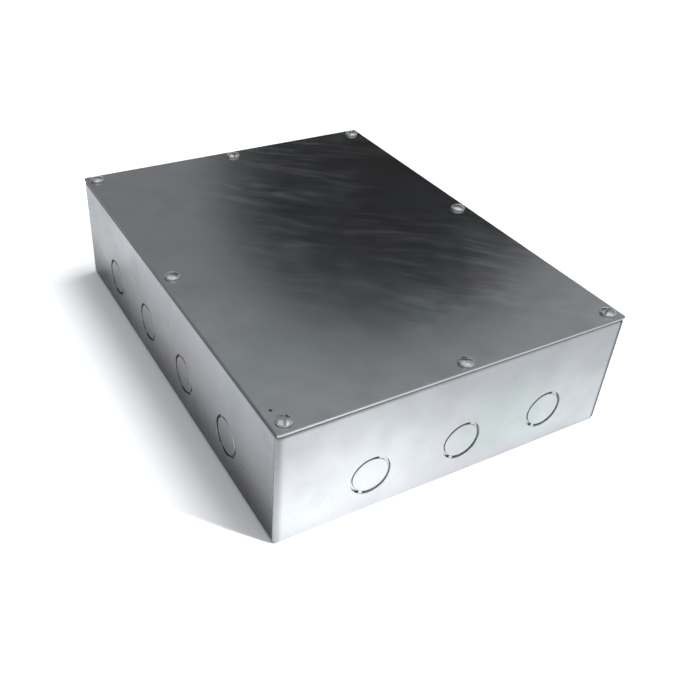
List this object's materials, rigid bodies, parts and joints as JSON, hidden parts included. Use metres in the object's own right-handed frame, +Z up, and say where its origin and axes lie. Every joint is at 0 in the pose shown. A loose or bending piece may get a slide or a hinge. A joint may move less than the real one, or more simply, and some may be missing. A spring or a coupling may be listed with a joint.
{
  "type": "junction box",
  "caption": "Rectangular sheet-steel electrical box with a flat screw-down cover and round knockouts along its walls, for joining and pulling wires.",
  "frame": {"origin": "centre of the underside", "axes": "+Z up through the cover, +Y along the box towards the end away from the viewer, +X across it"},
  "size_m": [0.228, 0.3, 0.0805],
  "materials": {
    "galvanised_sheet": "galvanised steel sheet, satin, scuffed and lightly stained",
    "zinc_plated_steel": "bright zinc plate",
    "brass": "turned brass, dull"
  },
  "bodies": {
    "box_body": {"wrapper": "galvanised_sheet", "end_wall_front": "galvanised_sheet", "end_wall_back": "galvanised_sheet", "cover_nuts": "zinc_plated_steel", "earth_stud": "zinc_plated_steel"},
    "cover": {"cover": "galvanised_sheet"},
    "cover_screw_front_left": {"cover_screw_front_left": "zinc_plated_steel"},
    "cover_screw_front_middle": {"cover_screw_front_middle": "zinc_plated_steel"},
    "cover_screw_front_right": {"cover_screw_front_right": "zinc_plated_steel"},
    "cover_screw_right_middle": {"cover_screw_right_middle": "zinc_plated_steel"},
    "cover_screw_back_right": {"cover_screw_back_right": "zinc_plated_steel"},
    "cover_screw_back_middle": {"cover_screw_back_middle": "zinc_plated_steel"},
    "cover_screw_back_left": {"cover_screw_back_left": "zinc_plated_steel"},
    "cover_screw_left_middle": {"cover_screw_left_middle": "zinc_plated_steel"},
    "knockout_back_1": {"knockout_back_1": "galvanised_sheet"},
    "knockout_back_2": {"knockout_back_2": "galvanised_sheet"},
    "knockout_back_3": {"knockout_back_3": "galvanised_sheet"},
    "knockout_front_1": {"knockout_front_1": "galvanised_sheet"},
    "knockout_front_2": {"knockout_front_2": "galvanised_sheet"},
    "knockout_front_3": {"knockout_front_3": "galvanised_sheet"},
    "knockout_left_1": {"knockout_left_1": "galvanised_sheet"},
    "knockout_left_2": {"knockout_left_2": "galvanised_sheet"},
    "knockout_left_3": {"knockout_left_3": "galvanised_sheet"},
    "knockout_left_4": {"knockout_left_4": "galvanised_sheet"},
    "knockout_right_1": {"knockout_right_1": "galvanised_sheet"},
    "knockout_right_2": {"knockout_right_2": "galvanised_sheet"},
    "knockout_right_3": {"knockout_right_3": "galvanised_sheet"},
    "knockout_right_4": {"knockout_right_4": "galvanised_sheet"},
    "earth_clamp": {"earth_washer": "brass", "earth_nut": "brass"}
  },
  "joints": [
    {"name": "cover_lift", "type": "slide", "parent": "box_body", "child": "cover", "axis": [0, 0, 1], "range_m": [0, 0.08]},
    {"name": "cover_screw_front_left_unscrew", "type": "slide", "parent": "cover", "child": "cover_screw_front_left", "axis": [0, 0, 1], "range_m": [0, 0.012]},
    {"name": "cover_screw_front_middle_unscrew", "type": "slide", "parent": "cover", "child": "cover_screw_front_middle", "axis": [0, 0, 1], "range_m": [0, 0.012]},
    {"name": "cover_screw_front_right_unscrew", "type": "slide", "parent": "cover", "child": "cover_screw_front_right", "axis": [0, 0, 1], "range_m": [0, 0.012]},
    {"name": "cover_screw_right_middle_unscrew", "type": "slide", "parent": "cover", "child": "cover_screw_right_middle", "axis": [0, 0, 1], "range_m": [0, 0.012]},
    {"name": "cover_screw_back_right_unscrew", "type": "slide", "parent": "cover", "child": "cover_screw_back_right", "axis": [0, 0, 1], "range_m": [0, 0.012]},
    {"name": "cover_screw_back_middle_unscrew", "type": "slide", "parent": "cover", "child": "cover_screw_back_middle", "axis": [0, 0, 1], "range_m": [0, 0.012]},
    {"name": "cover_screw_back_left_unscrew", "type": "slide", "parent": "cover", "child": "cover_screw_back_left", "axis": [0, 0, 1], "range_m": [0, 0.012]},
    {"name": "cover_screw_left_middle_unscrew", "type": "slide", "parent": "cover", "child": "cover_screw_left_middle", "axis": [0, 0, 1], "range_m": [0, 0.012]},
    {"name": "knockout_back_1_punch_in", "type": "slide", "parent": "box_body", "child": "knockout_back_1", "axis": [0, -1, 0], "range_m": [0, 0.03]},
    {"name": "knockout_back_2_punch_in", "type": "slide", "parent": "box_body", "child": "knockout_back_2", "axis": [0, -1, 0], "range_m": [0, 0.03]},
    {"name": "knockout_back_3_punch_in", "type": "slide", "parent": "box_body", "child": "knockout_back_3", "axis": [0, -1, 0], "range_m": [0, 0.03]},
    {"name": "knockout_front_1_punch_in", "type": "slide", "parent": "box_body", "child": "knockout_front_1", "axis": [0, 1, 0], "range_m": [0, 0.03]},
    {"name": "knockout_front_2_punch_in", "type": "slide", "parent": "box_body", "child": "knockout_front_2", "axis": [0, 1, 0], "range_m": [0, 0.03]},
    {"name": "knockout_front_3_punch_in", "type": "slide", "parent": "box_body", "child": "knockout_front_3", "axis": [0, 1, 0], "range_m": [0, 0.03]},
    {"name": "knockout_left_1_punch_in", "type": "slide", "parent": "box_body", "child": "knockout_left_1", "axis": [1, 0, 0], "range_m": [0, 0.03]},
    {"name": "knockout_left_2_punch_in", "type": "slide", "parent": "box_body", "child": "knockout_left_2", "axis": [1, 0, 0], "range_m": [0, 0.03]},
    {"name": "knockout_left_3_punch_in", "type": "slide", "parent": "box_body", "child": "knockout_left_3", "axis": [1, 0, 0], "range_m": [0, 0.03]},
    {"name": "knockout_left_4_punch_in", "type": "slide", "parent": "box_body", "child": "knockout_left_4", "axis": [1, 0, 0], "range_m": [0, 0.03]},
    {"name": "knockout_right_1_punch_in", "type": "slide", "parent": "box_body", "child": "knockout_right_1", "axis": [-1, 0, 0], "range_m": [0, 0.03]},
    {"name": "knockout_right_2_punch_in", "type": "slide", "parent": "box_body", "child": "knockout_right_2", "axis": [-1, 0, 0], "range_m": [0, 0.03]},
    {"name": "knockout_right_3_punch_in", "type": "slide", "parent": "box_body", "child": "knockout_right_3", "axis": [-1, 0, 0], "range_m": [0, 0.03]},
    {"name": "knockout_right_4_punch_in", "type": "slide", "parent": "box_body", "child": "knockout_right_4", "axis": [-1, 0, 0], "range_m": [0, 0.03]},
    {"name": "earth_clamp_unscrew", "type": "slide", "parent": "box_body", "child": "earth_clamp", "axis": [0, 0, 1], "range_m": [0, 0.018]}
  ]
}
